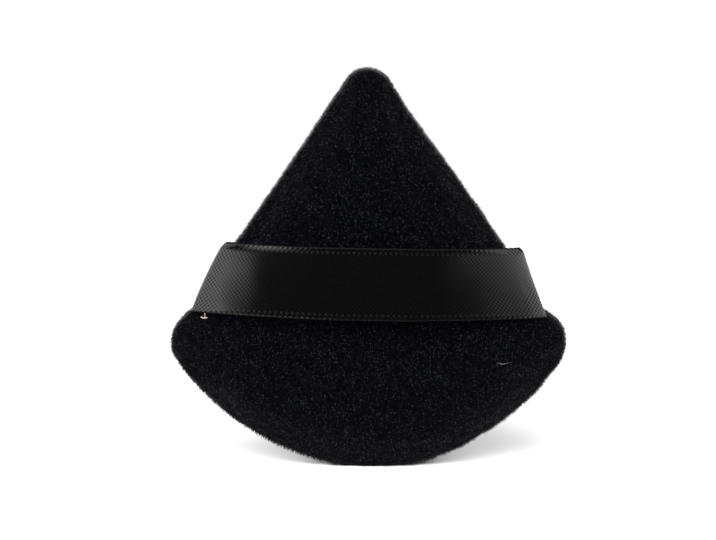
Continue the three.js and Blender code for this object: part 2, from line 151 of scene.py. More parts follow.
# The fan's edge from the bottom middle up the right side to the point: arcs that run into each other.
def rightEdge():
    o = outline
    apex = np.array([0, o["height"] - o["apexRadius"]])
    corner = np.array([o["width"] / 2 - o["cornerRadius"], o["cornerHeight"]])
    bottom = np.array([0, o["bottomRadius"] - o["footDepth"]])
    side = circlesMeet(apex, o["sideRadius"] + o["apexRadius"], corner, o["sideRadius"] + o["cornerRadius"])
    # The flank's arc leaves the bottom's arc in the same direction and touches the corner's arc from outside.
    leave = math.asin(o["bottomShare"] * o["width"] / 2 / o["bottomRadius"]) - math.pi / 2
    leaving = np.array([math.cos(leave), math.sin(leave)])
    span = bottom - corner
    reach = o["bottomRadius"] - o["cornerRadius"]
    shift = (reach ** 2 - span @ span) / (2 * (reach + span @ leaving))
    flank = bottom + shift * leaving

    def bearing(a, b):
        return math.atan2(b[1] - a[1], b[0] - a[0])

    def turned(a, b):
        return bearing(a, b) % (2 * math.pi)

    arcs = [
        (bottom, o["bottomRadius"], -math.pi / 2, leave, 1),
        (flank, o["bottomRadius"] - shift, leave, bearing(flank, corner), 1),
        (corner, o["cornerRadius"], bearing(flank, corner), bearing(corner, side), 1),
        (side, o["sideRadius"], turned(side, corner), turned(side, apex), -1),
        (apex, o["apexRadius"], bearing(apex, side), math.pi / 2, 1),
    ]
    places, normals = [], []
    for centre, radius, start, stop, outward in arcs:
        angle = np.linspace(start, stop, o["points"] // 10, endpoint=False)
        ray = np.stack([np.cos(angle), np.sin(angle)], 1)
        places.append(centre + radius * ray)
        normals.append(outward * ray)
    return np.concatenate(places), np.concatenate(normals)


# Both sides of the edge with a draw where the ribbon pulls. Gives points in even steps of length, the way out
# at each, and the whole length.
def wholeEdge():
    places, normals = rightEdge()
    top = np.array([[0, outline["height"]]])
    places = np.concatenate([places, top, places[:0:-1] * [-1, 1]])
    normals = np.concatenate([normals, [[0, 1]], normals[:0:-1] * [-1, 1]])
    depth = np.where(places[:, 0] > 0, outline["rightPull"], outline["leftPull"])
    reach = np.clip((places[:, 1] - outline["pullHeight"]) / outline["pullReach"], -1, 1)
    places = places - normals * (depth * (1 + np.cos(math.pi * reach)) / 2)[:, None]
    closed = np.concatenate([places, places[:1]])
    length = np.concatenate([[0], np.cumsum(np.hypot(*np.diff(closed, axis=0).T))])
    even = np.linspace(0, length[-1], outline["points"], endpoint=False)
    points = lookUp(even, length, closed)
    along = np.gradient(points, axis=0)
    along /= np.hypot(*along.T)[:, None]
    return points, np.stack([along[:, 1], -along[:, 0]], 1), length[-1]


edgePoints, edgeNormals, edgeLength = wholeEdge()


# Points of the edge at shares of its length, moved in by an inset: x and z in two columns.
def rim(share, inset=0.0):
    steps = np.arange(outline["points"] + 1) / outline["points"]
    places = np.asarray(share) % 1
    points, normals = (lookUp(places, steps, np.concatenate([table, table[:1]]))
                       for table in (edgePoints, edgeNormals))
    return points - normals * np.asarray(inset)[..., None]


# The edge of the cloth, moved in further by an inset.
def clothRim(share, inset=0.0):
    return rim(share, np.interp(np.asarray(share) % 1, np.linspace(0, 1, len(trim)), trim) + inset)


# Number of the edge's widest point on the right, and of the point above it that is the top.
def widestAndTop():
    top = outline["points"] // 2
    return int(np.argmax(edgePoints[:top, 0])), top


# Share of the edge's length at which it passes a height on the right (1) or left (-1) slanted side.
def shareAtHeight(height, side):
    rising = np.arange(*widestAndTop())
    share = np.interp(height, edgePoints[rising, 1], rising / outline["points"])
    return share if side > 0 else 1 - share


# Half width of the fan at a height on its slanted side, moved in by an inset.
def halfWidth(height, inset, side):
    widest = widestAndTop()[0] / outline["points"]
    line = rim(np.linspace(widest, 0.5, 900) * side, np.full(900, inset))
    return float(np.interp(height, line[:, 1], np.abs(line[:, 0])))


print("outline ready,", round(edgeLength, 1), "mm round")


# Shaders

# A socket that takes + - * with numbers and other sockets.
class Wire:
    def __init__(self, nodes, socket):
        self.nodes = nodes
        self.socket = socket

    def __add__(self, other):
        return self.nodes.math("ADD", self, other)

    def __radd__(self, other):
        return self.nodes.math("ADD", other, self)

    def __sub__(self, other):
        return self.nodes.math("SUBTRACT", self, other)

    def __rsub__(self, other):
        return self.nodes.math("SUBTRACT", other, self)

    def __mul__(self, other):
        return self.nodes.math("MULTIPLY", self, other)

    def __rmul__(self, other):
        return self.nodes.math("MULTIPLY", other, self)


# A node tree. Sockets are given by name or number: a wire is linked, and anything else is set on the socket.
class Nodes:
    def __init__(self, tree):
        self.tree = tree

    def fill(self, node, sockets):
        for key, value in sockets.items():
            if isinstance(value, Wire):
                self.tree.links.new(value.socket, node.inputs[key])
            else:
                node.inputs[key].default_value = value

    def node(self, kind, settings=None, sockets=None, out=0):
        made = self.tree.nodes.new(kind)
        for key, value in (settings or {}).items():
            setattr(made, key, value)
        self.fill(made, sockets or {})
        return Wire(self, made.outputs[out])

    def math(self, operation, *values):
        return self.node("ShaderNodeMath", {"operation": operation}, dict(enumerate(values)))

    # 0 below low and most above high, smooth between.
    def ramp(self, value, low, high, most=1.0):
        sockets = {"Value": value, "From Min": low, "From Max": high, "To Max": most}
        return self.node("ShaderNodeMapRange", {"interpolation_type": "SMOOTHSTEP"}, sockets)


# A material and its nodes, with a finish that is the same all over.
class Shader(Nodes):
    def __init__(self, name, finish):
        self.material = bpy.data.materials.new(name)
        self.material.use_nodes = True
        super().__init__(self.material.node_tree)
        self.surface = self.tree.nodes["Principled BSDF"]
        self.fill(self.surface, finish)

    def noise(self, size, detail):
        place = self.node("ShaderNodeTexCoord", out="Object")
        sockets = {"Vector": place, "Scale": 1 / (size * mm), "Detail": detail}
        return self.node("ShaderNodeTexNoise", None, sockets)

    def mix(self, share, first, second):
        return self.node("ShaderNodeMix", {"data_type": "RGBA"}, {0: share, 6: first, 7: second}, out=2)

    def bump(self, height, strength, depth):
        sockets = {"Height": height, "Strength": strength, "Distance": depth * mm}
        return self.node("ShaderNodeBump", None, sockets)

    def finished(self, sockets):
        self.fill(self.surface, sockets)
        return self.material


# A tone from its level and how many times as much blue it has as red or green.
def grey(level, blue=1.0):
    return (level, level, level * blue, 1.0)


# Velour

velour = {
    "ground": (0.0003, 2.2), "clump": (0.002, 2.0), "fleck": (0.047, 1.1), "tuft": (0.047, 1.5),
    "clumpSize": 0.7, "clumpRange": (0.35, 0.75), "fleckSize": 0.35, "fleckRange": (0.66, 0.74),
    "knitRoughness": 0.95, "pileRoughness": 0.75, "sheen": 0.095, "sheenRoughness": 0.46, "gloss": 0.0,
}


# Velour's finish has no gloss, and a sheen that grows where the cloth turns away.
def velourShader(name, roughness):
    return Shader(name, {
        "Roughness": roughness, "Specular IOR Level": velour["gloss"],
        "Sheen Weight": velour["sheen"], "Sheen Roughness": velour["sheenRoughness"],
    })


# Ground of the velour: dark knit between the pile, with clumps under a millimetre across and a few paler
# flecks.
def velourGround():
    v = velour
    shader = velourShader("velourGround", v["knitRoughness"])
    clumps = shader.noise(v["clumpSize"], 4.0)
    fleck = shader.ramp(shader.noise(v["fleckSize"], 1.0), *v["fleckRange"])
    shade = shader.mix(shader.ramp(clumps, *v["clumpRange"]), grey(*v["ground"]), grey(*v["clump"]))
    colour = shader.mix(fleck * 0.5, shade, grey(*v["fleck"]))
    return shader.finished({"Base Color": colour, "Normal": shader.bump(clumps, 0.8, 0.5)})


# Pile: each tuft's tone comes with the mesh, and its root is painted darker than its tip, as painted shade
# deep in the pile.
def velourPile():
    shader = velourShader("velourPile", velour["pileRoughness"])
    shade = shader.node("ShaderNodeAttribute", {"attribute_name": "tuftToneAndRootShade"}, out="Fac")
    return shader.finished({"Base Color": shader.mix(shade, grey(*velour["ground"]), grey(*velour["tuft"]))})


# Covers

cover = {
    "centreHeight": 38.0, "crownPower": 4.2, "cells": 132, "edgeCrowding": 1.5,
    "thickness": 1.5, "foldHeight": 1.2, "foldDepth": 1.0, "foldRows": 8, "valley": 0.05,
    "allowanceWidth": 4.3, "allowanceThickness": 0.9,
    "stitches": 92, "puckerDepth": 0.16, "puckerReach": 1.8, "puckerStop": 40,
    "lumpHeight": 0.1, "lumpSizes": (1.6, 2.7, 4.5, 7.5), "lumpFlatness": 4, "lumpSeed": 5,
}
padding = {
    "cells": 45, "startShare": 0.86, "pressure": 4.0, "quality": 8, "frames": 20, "scale": 10.0, "cap": 1.3,
    "softening": 12,
}
fanCentre = np.array([0, cover["centreHeight"]])


# A square grid drawn onto a disc and then onto the fan: rings of the disc become smaller copies of the edge,
# closer together towards it. Gives the points, how far out each lies from 0 to 1, and its share of the edge.
def fanGrid(count, inset=0.0):
    u, v = np.meshgrid(np.linspace(-1, 1, count), np.linspace(-1, 1, count))
    x, z = u * np.sqrt(1 - v ** 2 / 2), v * np.sqrt(1 - u ** 2 / 2)
    reach = 1 - np.clip(1 - np.hypot(x, z), 0, 1) ** cover["edgeCrowding"]
    share = np.arctan2(z, x) / (2 * math.pi) + 0.25
    points = fanCentre + reach[..., None] * (clothRim(share, inset) - fanCentre)
    return points.reshape(-1, 2), reach.ravel(), share.ravel()


# The crown's rise from the edge (0) to the middle (1), a curve that leaves the edge upright.
def crownRise(reach):
    return np.clip(1 - reach ** cover["crownPower"], 0, 1) ** (1 / cover["crownPower"])


# Smooth lumps that follow the place in the cloth: seven waves of each size in seeded directions, added up and
# divided by about the root of their number, which leaves them between about -1 and 1.
def lumps(points, sizes, seed):
    waves = np.random.default_rng(seed)
    total = np.zeros(len(points))
    for size in sizes:
        direction = waves.normal(size=(7, 3))
        direction *= 2 * math.pi / size / np.linalg.norm(direction, axis=1)[:, None]
        total += np.sin(points @ direction.T + waves.uniform(0, 2 * math.pi, 7)).sum(1)
    return total / (2.6 * math.sqrt(len(sizes)))


# The pad under both covers swells under pressure with its seam held. Gives how far each grid point moved.
def swollenPad():
    count = padding["cells"] + 1
    flat, reach, _ = fanGrid(count)
    fold = cover["foldHeight"]
    rise = fold + (halfThickness * padding["startShare"] - fold) * crownRise(reach)
    sides = [np.stack([flat[:, 0], side * rise, flat[:, 1]], 1) for side in (-1, 1)]
    start = np.concatenate(sides) * padding["scale"]
    pad = makePiece("swollenPad", start, slabFaces(count, count))
    ring = gridRing(count, count)
    held = pad.vertex_groups.new(name="seam")
    held.add([int(k) for k in np.concatenate([ring, ring + len(flat)])], 1.0, "REPLACE")
    cloth = pad.modifiers.new("cloth", "CLOTH")
    cloth.settings.quality = padding["quality"]
    cloth.settings.use_pressure = True
    cloth.settings.uniform_pressure_force = padding["pressure"]
    cloth.settings.effector_weights.gravity = 0
    cloth.settings.vertex_group_mass = "seam"
    cloth.point_cache.frame_end = padding["frames"]
    scene = bpy.context.scene
    for step in range(1, padding["frames"] + 1):
        scene.frame_set(step)
    after = pad.evaluated_get(bpy.context.evaluated_depsgraph_get()).data
    moved = np.zeros(len(after.vertices) * 3, np.float32)
    after.vertices.foreach_get("co", moved)
    scene.frame_set(1)
    mesh = pad.data
    bpy.data.objects.remove(pad)
    bpy.data.meshes.remove(mesh)
    shift = (moved.reshape(-1, 3) / mm - start) / padding["scale"]
    far = np.linalg.norm(shift, axis=1, keepdims=True)
    shift *= np.minimum(1, padding["cap"] / np.maximum(far, 1e-9))
    most, mean = (round(float(value), 2) for value in (far.max(), far.mean()))
    print("pad swelled by", most, "mm at most and", mean, "on average")
    return shift.reshape(2, count, count, 3)


# Weights that carry values along a coarse row to a finer one, on cubic curves through the coarse values.
def finerWeights(coarse, fine):
    place = np.linspace(0, coarse - 1, fine)
    knot = np.minimum(place.astype(int), coarse - 2)
    t = place - knot
    shares = [(-t ** 3 + 2 * t ** 2 - t) / 2, (3 * t ** 3 - 5 * t ** 2 + 2) / 2,
              (-3 * t ** 3 + 4 * t ** 2 + t) / 2, (t ** 3 - t ** 2) / 2]
    weights = np.zeros((fine, coarse))
    for offset, share in zip((-1, 0, 1, 2), shares):
        np.add.at(weights, (np.arange(fine), np.clip(knot + offset, 0, coarse - 1)), share)
    return weights


# Averages each value with its four neighbours and leaves the outer ones.
def softened(values, passes):
    for _ in range(passes):
        inner = (values[:-2, 1:-1] + values[2:, 1:-1] + values[1:-1, :-2] + values[1:-1, 2:]) / 4
        values = values.copy()
        values[1:-1, 1:-1] = (values[1:-1, 1:-1] + inner) / 2
    return values


# One cover as a closed shell: crowned face, fold at the seam, allowance turned in, and the lining behind.
# side is -1 in front and 1 behind. Gives the points, the faces, and how many faces show.
def coverShell(side, swelling):
    c = cover
    count = c["cells"] + 1
    flat, reach, share = fanGrid(count)
    weights = finerWeights(len(swelling), count)
    swell = np.einsum("ai,bj,ijk->abk", weights, weights, swelling).reshape(-1, 3)
    rise = c["foldHeight"] + (halfThickness - c["foldHeight"]) * crownRise(reach)
    face = np.stack([flat[:, 0], side * rise, flat[:, 1]], 1) + swell
    face[:, 1] /= np.abs(face[:, 1]).max() / halfThickness
    # Each stitch draws the cloth in, less and less away from the edge.
    stitch = (1 + np.cos(2 * math.pi * share * c["stitches"])) / 2
    fromEdge = np.hypot(*(flat - clothRim(share)).T)
    fade = np.exp(-fromEdge / c["puckerReach"]) * (1 - reach ** c["puckerStop"])
    face[:, 1] -= side * c["puckerDepth"] * stitch * fade
    # Rows round the fold and along the allowance: how far each lies inside the edge and off the seam's plane.
    ring = gridRing(count, count)
    rows = []
    for turn in np.linspace(0, math.pi / 2, c["foldRows"] + 1)[1:]:
        inset = c["foldDepth"] * (1 - math.cos(turn)) + c["puckerDepth"] * stitch[ring] * math.sin(2 * turn)
        rows.append((inset, c["valley"] + (c["foldHeight"] - c["valley"]) * (1 - math.sin(turn))))
    allowanceTop = c["valley"] + c["allowanceThickness"]
    rows += [(c["allowanceWidth"], c["valley"]), (c["allowanceWidth"], allowanceTop)]
    turned = []
    for inset, depth in rows:
        line = clothRim(share[ring], inset)
        turned.append(np.stack([line[:, 0], np.full(len(line), side * depth), line[:, 1]], 1))
    inner, innerReach, _ = fanGrid(count, c["thickness"])
    liningRise = allowanceTop + (halfThickness - c["thickness"] - allowanceTop) * crownRise(innerReach)
    lining = np.stack([inner[:, 0], side * liningRise, inner[:, 1]], 1)
    points = np.concatenate([face, *turned, lining])
    toLining = len(points) - len(lining)
    between = len(face) + np.arange(len(turned) * len(ring)).reshape(len(turned), len(ring))
    order = np.concatenate([ring[None], between, (ring + toLining)[None]])
    strips = np.stack([order[:-1], order[1:], np.roll(order[1:], -1, 1), np.roll(order[:-1], -1, 1)], -1)
    fold = strips[:c["foldRows"]].reshape(-1, 4)
    hidden = strips[c["foldRows"]:].reshape(-1, 4)
    grid = gridFaces(count, count)
    faces = np.concatenate([grid, fold, hidden, grid[:, ::-1] + toLining])
    if side > 0:
        faces = faces[:, ::-1]
    # Lumps stand out from the fan's centre, as if the puff were as thick as it is wide.
    soft = np.zeros(len(points))
    soft[:len(face) + c["foldRows"] * len(ring)] = c["lumpHeight"]
    out = (points - [0, 0, c["centreHeight"]]) * [1, c["lumpFlatness"], 1]
    out /= np.linalg.norm(out, axis=1)[:, None] + 1e-6
    points = points + out * (soft * lumps(points, c["lumpSizes"], c["lumpSeed"] + side))[:, None]
    points[:, 2] = np.maximum(points[:, 2], 0)
    points[:, 1] += seamPlane
    return points, faces, len(grid) + len(fold)


swelling = [softened(side, padding["softening"]) for side in swollenPad()]
groundMaterial = velourGround()
covers = {}
for name, side, grown in (("front", -1, swelling[0]), ("back", 1, swelling[1])):
    points, faces, shown = coverShell(side, grown)
    covers[name] = (points, faces[:shown])
    piece = settle(makePiece(name + "Cover", points, faces), "velour", groundMaterial, name + "_velour_panel")
print("covers ready")


# Pile

pile = {
    "tufts": 45000, "batches": 2, "seed": 100, "width": 0.13, "widthPerReach": 1.7, "length": (0.35, 0.9),
    "sunk": 0.12, "nap": (0.1, 0.0, -0.5), "stray": 0.4,
    "swirl": 0.35, "swirlSize": 14.0, "swirlRatio": 2.3, "swirlSeed": 40,
    # The root share darkens each tuft's root to half its tone: painted shade deep in the pile.
    "paleShare": 0.09, "paleShade": (0.3, 1.0), "darkShade": 0.03, "rootPaintedShade": 0.5,
    "underRibbon": (33.5, 47.0), "ribbonRoom": 3.0,
}


# Places spread evenly over four-sided faces, and the way out at each.
def scattered(points, faces, count, draw):
    a, b, c, d = (points[faces[:, k]] for k in range(4))
    normal = np.cross(c - a, d - b) / 2
    area = np.linalg.norm(normal, axis=1)
    chosen = draw.choice(len(faces), count, p=area / area.sum())
    u, v = draw.random((2, count, 1))
    a, b, c, d = (corner[chosen] for corner in (a, b, c, d))
    place = (a * (1 - u) + b * u) * (1 - v) + (d * (1 - u) + c * u) * v
    return place, (normal / np.maximum(area, 1e-12)[:, None])[chosen]


# Pile as closed spikes of four faces. Each leans with the nap, which swirls over the cover, and strays a
# little. There is none where the ribbon's tails press it flat in the seam. Each spike is shaded by the way
# out of the cloth it stands on, so that the sheen follows the cover.
def pileTufts(name, points, faces, seed):
    p = pile
    draw = np.random.default_rng(seed)
    root, out = scattered(points, faces, p["tufts"], draw)
    lowest, highest = p["underRibbon"]
    pressed = (root[:, 2] > lowest) & (root[:, 2] < highest) & (root[:, 1] > seamPlane - p["ribbonRoom"])
    pressed &= root[:, 1] < seamPlane
    root, out = root[~pressed], out[~pressed]
    count = len(root)
    swirlSizes = (p["swirlSize"], p["swirlSize"] / p["swirlRatio"])
    swirl = np.stack([lumps(root, swirlSizes, p["swirlSeed"] + k) for k in range(3)], 1)
    lean = np.array(p["nap"]) + p["swirl"] * swirl + p["stray"] * draw.normal(size=(count, 3))
    way = unit(out + lean - out * (lean * out).sum(1, keepdims=True))
    across = unit(np.cross(way, draw.normal(size=(count, 3))))
    beside = np.cross(way, across)
    length = draw.uniform(*p["length"], (count, 1))
    foot = root - out * p["sunk"]
    reach = p["width"] / p["widthPerReach"]
    corners = [foot + reach * (across * math.cos(t) + beside * math.sin(t))
               for t in (0, 2 * math.pi / 3, 4 * math.pi / 3)]
    spikes = np.stack([*corners, root + way * length], 1).reshape(-1, 3)
    spikes[:, 2] = np.maximum(spikes[:, 2], 0)
    pattern = np.array([(0, 2, 1), (0, 1, 3), (1, 2, 3), (2, 0, 3)])
    tuftFaces = (np.arange(count)[:, None, None] * 4 + pattern).reshape(-1, 3)
    piece = makePiece(name, spikes, tuftFaces)
    piece.data.normals_split_custom_set_from_vertices(np.repeat(out, 4, axis=0))
    shade = p["darkShade"] * draw.random(count) ** 2
    pale = draw.random(count) < p["paleShare"]
    shade[pale] = draw.uniform(*p["paleShade"], pale.sum())
    # The three root corners of each tuft are darker than its tip: painted shade deep in the pile, on top of
    # the tuft's own tone.
    tonesWithRootShade = np.repeat(shade, 4) * np.tile([*[p["rootPaintedShade"]] * 3, 1.0], count)
    layer = piece.data.attributes.new("tuftToneAndRootShade", "FLOAT", "POINT")
    layer.data.foreach_set("value", tonesWithRootShade.astype(np.float32))
    return piece


pileMaterial = velourPile()
for name, (points, faces) in covers.items():
    for batch in range(pile["batches"]):
        seed = pile["seed"] + 10 * batch + len(name)
        tufts = pileTufts(f"{name}Pile{batch + 1}", points, faces, seed)
        settle(tufts, "velour", pileMaterial, name + "_velour_panel")
print("pile ready")


# Foam

foam = {
    "inset": 4.6, "cells": 60, "clearance": 0.3, "edge": 0.94,
    "poreDepth": 0.05, "poreSizes": (0.9, 1.7), "poreSeed": 71,
    "cellSize": 0.45, "cellTone": (0.42, 0.36, 0.26, 1), "wallTone": (0.74, 0.67, 0.53, 1),
}


def foamMaterial():
    shader = Shader("foamCells", {"Roughness": 0.9})
    cells = shader.noise(foam["cellSize"], 3.0)
    colour = shader.mix(shader.ramp(cells, 0.3, 0.6), foam["cellTone"], foam["wallTone"])
    return shader.finished({"Base Color": colour, "Normal": shader.bump(cells, 0.7, 0.3)})


# Cut pad: two crowned faces that follow the linings, and an upright cut edge between the allowances' ends.
def foamPad():
    count = foam["cells"] + 1
    flat, reach, _ = fanGrid(count, foam["inset"])
    top = cover["valley"] + cover["allowanceThickness"]
    rise = halfThickness - cover["thickness"] - top
    depth = top + rise * crownRise(np.minimum(reach, foam["edge"])) - foam["clearance"]
    depth = np.minimum(depth, top + rise * crownRise(reach * foam["edge"]) - foam["clearance"])
    sides = [np.stack([flat[:, 0], seamPlane + side * depth, flat[:, 1]], 1) for side in (-1, 1)]
    points = np.concatenate(sides)
    points += foam["poreDepth"] * lumps(points, foam["poreSizes"], foam["poreSeed"])[:, None]
    piece = makePiece("foamPad", points, slabFaces(count, count))
    return piece


settle(foamPad(), "foam", foamMaterial(), "foam_core")
print("foam ready")


# Ribbon

# Pairs that differ from side to side are left and right.
ribbon = {
    "width": 15.0, "endHeight": 14.6, "thickness": 0.28, "height": 40.4, "drop": 1.5, "flat": 6.0,
    "gap": 5.725, "standDepth": 4.5, "tailInset": 4.2, "frontShares": (0.27, 0.24), "turnShares": (0.7, 0.34),
    "bulge": (2.8, 4.0), "bow": (0.4, -0.2), "tuck": (-0.5, 0.3), "tailSink": (0.5, 1.1),
    "cornerRound": 0.6, "cornerShare": 0.08,
    "steps": (60, 120, 60, 20),  # points on the flat, the bend, the turn and the tail
    "columns": 1000, "rows": 26, "rowCrowding": 0.78,
    "beadRadius": 0.16, "beadSpread": 0.3, "loopPitch": 1.12, "loopDepth": 0.05,
    "waveHeight": 0.015, "waveSizes": (9.0, 21.0), "waveSeed": 23,
}


def bezier(corners, steps):
    a, b, c, d = np.array(corners)
    t = np.linspace(0, 1, steps + 1)[1:, None]
    return a * (1 - t) ** 3 + 3 * b * t * (1 - t) ** 2 + 3 * c * t ** 2 * (1 - t) + d * t ** 3


# One line along the ribbon on one side, from the middle of the front to the cut tail, at a share of its
# width. It runs flat, bends round to where it stands out most, turns back to the seam, and goes in between
# the covers.
def ribbonHalf(side, across):
    r = ribbon
    bulge, bow, tuck, tailSink = (r[key][side > 0] for key in ("bulge", "bow", "tuck", "tailSink"))
    onFlat, onBend, onTurn, onTail = r["steps"]
    slope = r["drop"] / outline["width"]
    front = halfThickness + r["gap"]

    def level(share, height):
        return r["height"] + height * (share - 0.5)

    def seamHalf(share, inset):
        height = level(share, r["endHeight"])
        return halfWidth(height - side * slope * halfWidth(height, inset, side), inset, side)

    low = seamHalf(0, 0) - r["thickness"] / 2 - tuck
    corner = r["cornerRound"] * max(0, 1 - (1 - across) / r["cornerShare"]) ** 2
    reach = low + (seamHalf(1, 0) + bulge - low) * across + bow * 4 * across * (1 - across) - corner
    atSeam = seamHalf(across, cover["foldDepth"])
    atEnd = seamHalf(across, r["tailInset"])
    sideways, forth = r["frontShares"]
    out, forward = r["turnShares"]
    stand = r["standDepth"]
    bend = [(r["flat"], -front), (r["flat"] + sideways * (reach - r["flat"]), -front),
            (reach, -stand - forth * (front - stand)), (reach, -stand)]
    turn = [(reach, -stand), (reach, -stand * forward), (atSeam + (reach - atSeam) * out, 0), (atSeam, 0)]
    path = np.concatenate([
        np.stack([np.linspace(0, r["flat"], onFlat), np.full(onFlat, -front)], 1),
        bezier(bend, onBend),
        bezier(turn, onTurn),
        np.stack([np.linspace(atSeam, atEnd, onTail + 1)[1:], np.zeros(onTail)], 1),
    ])
    # The ribbon narrows to its end height along the bend, and sinks along the turn.
    rounding = np.concatenate([np.zeros(onFlat), np.linspace(0, 1, onBend + 1)[1:], np.ones(onTurn + onTail)])
    sinking = np.sin(np.linspace(0, math.pi / 2, onTurn + 1)[1:])
    sink = tailSink * np.concatenate([np.zeros(onFlat + onBend), sinking, np.ones(onTail)])
    height = r["width"] + (r["endHeight"] - r["width"]) * rounding
    up = level(across, height) - slope * side * path[:, 0] - sink
    return np.stack([side * path[:, 0], path[:, 1], up], 1)


# The whole line from the left tail to the right one, in even steps, and its length.
def ribbonLine(across):
    line = np.concatenate([ribbonHalf(-1, across)[:0:-1], ribbonHalf(1, across)])
    length = runLength(line)
    return lookUp(np.linspace(0, length[-1], ribbon["columns"]), length, line), length[-1]


# The band with a bead along each edge: small loops of the weft stand out along it at an even pitch.
def ribbonBand():
    r = ribbon
    rows, columns = r["rows"], r["columns"]
    share = np.linspace(-1, 1, rows)
    share = (share + r["rowCrowding"] * np.sin(math.pi * share) / math.pi) / 2 + 0.5
    lines = [ribbonLine(across) for across in share]
    middle = np.stack([line for line, _ in lines])
    length = float(np.mean([long for _, long in lines]))
    up = np.gradient(middle, axis=0)
    out = unit(np.cross(np.gradient(middle, axis=1), up))
    up = unit(up)
    u = np.linspace(0, length, columns)
    fromEdge = np.minimum(share, 1 - share) * r["width"]
    loop = (1 + np.cos(2 * math.pi * u / r["loopPitch"])) / 2
    bead = np.exp(-(fromEdge / r["beadSpread"]) ** 2)
    half = r["thickness"] / 2 + (r["beadRadius"] - r["thickness"] / 2) * bead
    half = half[:, None] + r["loopDepth"] * bead[:, None] * (loop - 0.5)[None]
    outward = np.zeros(rows)
    outward[0] = -1
    outward[-1] = 1
    middle = middle + up * (outward[:, None] * r["loopDepth"] * loop[None])[..., None]
    place = np.stack(np.broadcast_arrays(u[None], (share * r["width"])[:, None], 0.0), -1).reshape(-1, 3)
    wave = r["waveHeight"] * lumps(place, r["waveSizes"], r["waveSeed"])
    middle = middle + out * wave.reshape(rows, -1, 1)
    points = np.concatenate([(middle + out * half[..., None]).reshape(-1, 3),
                             (middle - out * half[..., None]).reshape(-1, 3)])
    points[:, 1] += seamPlane
    piece = makePiece("fingerRibbon", points, slabFaces(rows, columns))
    layer = piece.data.attributes.new("weavePlace", "FLOAT_VECTOR", "POINT")
    layer.data.foreach_set("vector", np.tile(place, (2, 1)).astype(np.float32).ravel())
    return piece, length


satin = {
    "under": (0.0008, 1.1), "float": (0.0024, 1.1), "pinTone": 0.007, "edgeTone": 0.003,
    "weave": 0.9, "weaveDepth": 0.14, "cloudSize": 3.5, "patchSize": 6.0, "patchRange": (0.42, 0.6),
    "pinRow": (0.75, 0.95, 1.15, 1.35),  # where the row starts, is full, begins to fade and ends
    "edgeZone": (0.1, 0.3), "gloss": 0.05, "coat": 0.55, "roughness": 0.07,
}


# Satin: a lattice of floats, one wave along the ribbon times one wave across it. It lightens the base a
# little and varies the coat, more in some patches than in others. Rows of pin holes run by the woven edges,
# which have no coat and are rougher.
def satinMaterial():
    s = satin
    shader = Shader("satin", {"Specular IOR Level": s["gloss"], "Coat Roughness": s["roughness"]})
    place = shader.node("ShaderNodeAttribute", {"attribute_name": "weavePlace"}, out="Vector")
    along, across = (shader.node("ShaderNodeSeparateXYZ", None, {"Vector": place}, out=axis) for axis in "XY")
    fromEdge = shader.math("MINIMUM", across, ribbon["width"] - across)

    def wave(value, period):
        return shader.math("SINE", value * (2 * math.pi / period))

    lattice = wave(along, s["weave"]) * wave(across, s["weave"])
    floats = shader.ramp(lattice, -0.3, 0.5)
    start, full, fade, stop = s["pinRow"]
    row = shader.ramp(fromEdge, start, full) * (1 - shader.ramp(fromEdge, fade, stop))
    pins = row * shader.ramp(wave(along, ribbon["loopPitch"]), 0.1, 0.8)
    edge = 1 - shader.ramp(fromEdge, *s["edgeZone"])
    cloud = shader.noise(s["cloudSize"], 3.0)
    patch = shader.ramp(shader.noise(s["patchSize"], 2.0), *s["patchRange"])
    base = shader.mix(shader.ramp(lattice, -0.6, 0.9), grey(*s["under"]), grey(*s["float"]))
    base = shader.mix(pins * 0.8, base, grey(s["pinTone"]))
    base = shader.mix(edge * 0.5, base, grey(s["edgeTone"]))
    height = lattice * 0.02 + pins * 0.25 + cloud * 0.02
    return shader.finished({
        "Base Color": base,
        "Roughness": s["roughness"] + 0.02 * cloud + edge * 0.5,
        "Coat Weight": (s["coat"] + (floats - 0.5) * (0.2 + 0.5 * patch)) * (1 - edge),
        "Normal": shader.bump(height, 0.5, s["weaveDepth"]),
    })


band, bandLength = ribbonBand()
settle(band, "satin", satinMaterial(), "finger_ribbon")
print("ribbon ready,", round(bandLength, 1), "mm long")


# Threads

sewing = {
    "radius": 0.14, "sides": 8, "twistPitch": 0.9, "twistDepth": 0.025,
    "aside": (0.13, 0.97, 0.21),  # a direction in which no thread runs
    "stepsPerStitch": 12, "sharpness": 2.6, "overCloth": 1.2, "seamInset": 2.7, "seamPitch": 2.75,
    "closingInset": 0.85, "closingReach": 0.9, "closingPitch": 2.8, "turningGap": 26.0, "gapStart": 6.0,
    "seamEndGap": 3.0, "tackInset": 3.4, "tackPitch": 1.4, "tackMargin": 2.0,
}


# A closed round tube of thread along a line of points, its skin turning like twisted yarn.
def threadTube(name, path, radius):
    s = sewing
    path = np.asarray(path, float)
    along = unit(np.gradient(path, axis=0))
    across = unit(np.cross(along, s["aside"]))
    beside = np.cross(along, across)
    turn = np.arange(s["sides"]) * 2 * math.pi / s["sides"]
    twist = np.cos(2 * turn[None] + 2 * math.pi * runLength(path)[:, None] / s["twistPitch"])
    reach = (radius + s["twistDepth"] * twist)[..., None]
    ringPoints = path[:, None] + reach * (
        across[:, None] * np.cos(turn)[None, :, None] + beside[:, None] * np.sin(turn)[None, :, None])
    count, sides = len(path), s["sides"]
    points = np.concatenate([ringPoints.reshape(-1, 3), path[:1], path[-1:]])
    points[:, 1] += seamPlane
    body = gridFaces(count, sides, ringed=True)
    index = np.arange(sides)
    after = (index + 1) % sides
    start = np.stack([index, np.full(sides, count * sides), after], 1)
    last = (count - 1) * sides
    end = np.stack([index + last, after + last, np.full(sides, count * sides + 1)], 1)
    triangles = np.concatenate([body[:, [0, 1, 2]], body[:, [0, 2, 3]], start, end])
    return makePiece(name, points, triangles[:, ::-1])


